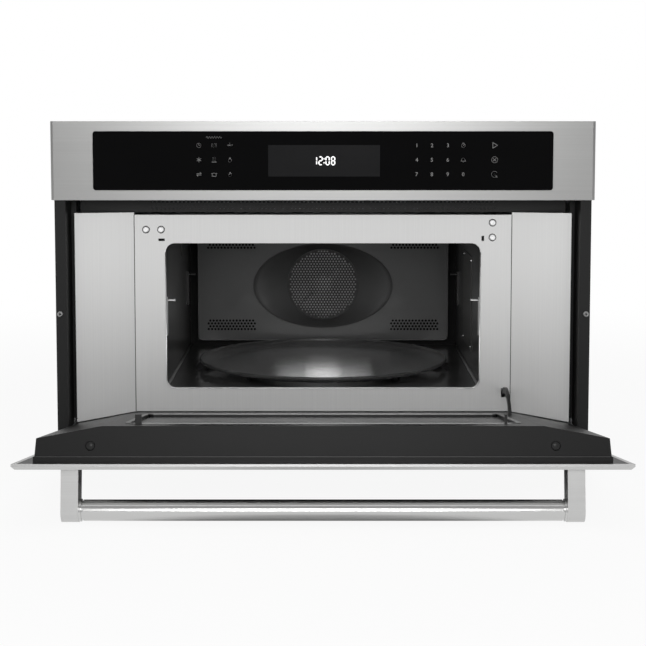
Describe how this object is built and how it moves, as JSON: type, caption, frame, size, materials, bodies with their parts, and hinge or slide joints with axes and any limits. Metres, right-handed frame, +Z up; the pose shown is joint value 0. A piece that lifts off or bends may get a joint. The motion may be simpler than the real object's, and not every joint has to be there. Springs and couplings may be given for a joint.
{
  "type": "built-in microwave oven",
  "caption": "Wide built-in microwave oven with a drop-down door and bar handle, a touch control panel, a glass turntable and a fan-assisted cavity.",
  "frame": {"origin": "centre of the base plate's underside", "axes": "+Z up, +Y towards the rear panel, +X to the right as seen from the front; the door is drawn open"},
  "size_m": [0.756, 0.8962, 0.496],
  "materials": {
    "stainless": "brushed",
    "panel_glass": "gloss",
    "display": "gloss",
    "door_glass": "gloss",
    "tray_glass": "gloss",
    "black_paint": "satin",
    "cavity_enamel": "satin",
    "chrome": "polished",
    "zinc_sheet": "galvanised",
    "screw_steel": "plated",
    "heater_steel": "oxidised",
    "grey_plastic": "moulded",
    "board": "laminate",
    "mica": "mica sheet",
    "core_steel": "varnished laminations",
    "capacitor_can": "drawn can",
    "lamp_glass": "clear"
  },
  "bodies": {
    "chassis": {"base_plate": "zinc_sheet", "blower_housing": "grey_plastic", "cavity_back": "cavity_enamel", "cavity_brackets": "zinc_sheet", "cavity_floor": "cavity_enamel", "cavity_lamp": "lamp_glass", "cavity_wrapper": "cavity_enamel", "control_board": "board", "control_carrier": "grey_plastic", "control_fascia": "stainless", "control_glass": "panel_glass", "convection_heater": "heater_steel", "display_lens": "display", "fan_grille": "cavity_enamel", "fan_housing": "zinc_sheet", "fan_motor": "zinc_sheet", "frame_screws": "screw_steel", "front_frame": "stainless", "hinge_bracket_left": "zinc_sheet", "hinge_bracket_right": "zinc_sheet", "hv_capacitor": "capacitor_can", "hv_transformer": "core_steel", "interlock_switches": "grey_plastic", "lower_fascia": "black_paint", "magnetron": "zinc_sheet", "outer_wrapper": "zinc_sheet", "rack_supports": "chrome", "rear_panel": "zinc_sheet", "side_frame_left": "black_paint", "side_frame_right": "black_paint", "side_panel_left": "stainless", "side_panel_right": "stainless", "supply_gland": "grey_plastic", "turntable_motor": "zinc_sheet", "vent_grille": "black_paint", "waveguide": "zinc_sheet", "waveguide_cover": "mica"},
    "door": {"door_skin": "stainless", "door_outer_glass": "door_glass", "door_liner": "black_paint", "door_trim": "chrome", "door_inner_glass": "door_glass", "door_screen": "zinc_sheet", "latch_hooks": "grey_plastic", "hinge_bushes": "grey_plastic", "check_arm": "zinc_sheet", "handle_bar": "stainless", "handle_post_left": "stainless", "handle_post_right": "stainless", "handle_screws": "screw_steel"},
    "turntable": {"turntable_tray": "tray_glass", "drive_coupler": "grey_plastic"},
    "roller_ring": {"roller_ring": "grey_plastic"},
    "roller_1": {"roller_1": "grey_plastic"},
    "roller_2": {"roller_2": "grey_plastic"},
    "roller_3": {"roller_3": "grey_plastic"},
    "convection_fan": {"convection_fan": "zinc_sheet"},
    "blower_wheel": {"blower_wheel": "grey_plastic"},
    "plunger_left": {"plunger_left": "grey_plastic"},
    "plunger_right": {"plunger_right": "grey_plastic"}
  },
  "joints": [
    {"name": "door_hinge", "type": "hinge", "parent": "chassis", "child": "door", "pos_m": [0, -0.288, 0.0543], "axis": [1, 0, 0], "range_deg": [-81.6, 0]},
    {"name": "turntable_spin", "type": "hinge", "parent": "chassis", "child": "turntable", "pos_m": [0, -0.048, 0.113], "axis": [0, 0, 1], "continuous": true},
    {"name": "roller_ring_spin", "type": "hinge", "parent": "chassis", "child": "roller_ring", "pos_m": [0, -0.048, 0.1054], "axis": [0, 0, 1], "continuous": true},
    {"name": "roller_1_spin", "type": "hinge", "parent": "roller_ring", "child": "roller_1", "pos_m": [0, 0.082, 0.1054], "axis": [0, 1, 0], "continuous": true},
    {"name": "roller_2_spin", "type": "hinge", "parent": "roller_ring", "child": "roller_2", "pos_m": [-0.11258, -0.113, 0.1054], "axis": [-0.866, -0.5, 0], "continuous": true},
    {"name": "roller_3_spin", "type": "hinge", "parent": "roller_ring", "child": "roller_3", "pos_m": [0.11258, -0.113, 0.1054], "axis": [0.866, -0.5, 0], "continuous": true},
    {"name": "convection_fan_spin", "type": "hinge", "parent": "chassis", "child": "convection_fan", "pos_m": [0, 0.197, 0.213], "axis": [0, 1, 0], "continuous": true},
    {"name": "blower_spin", "type": "hinge", "parent": "chassis", "child": "blower_wheel", "pos_m": [0.2935, 0.247, 0.19], "axis": [0, 1, 0], "continuous": true},
    {"name": "plunger_left_slide", "type": "slide", "parent": "chassis", "child": "plunger_left", "axis": [0, 1, 0], "range_m": [0, 0.003], "stiffness_N_per_m": 150},
    {"name": "plunger_right_slide", "type": "slide", "parent": "chassis", "child": "plunger_right", "axis": [0, 1, 0], "range_m": [0, 0.003], "stiffness_N_per_m": 150}
  ],
  "couplings": [
    {"joint": "roller_ring_spin", "follows": "turntable_spin", "ratio": 0.5},
    {"joint": "roller_1_spin", "follows": "turntable_spin", "ratio": -9.2843},
    {"joint": "roller_2_spin", "follows": "turntable_spin", "ratio": -9.2843},
    {"joint": "roller_3_spin", "follows": "turntable_spin", "ratio": -9.2843}
  ]
}
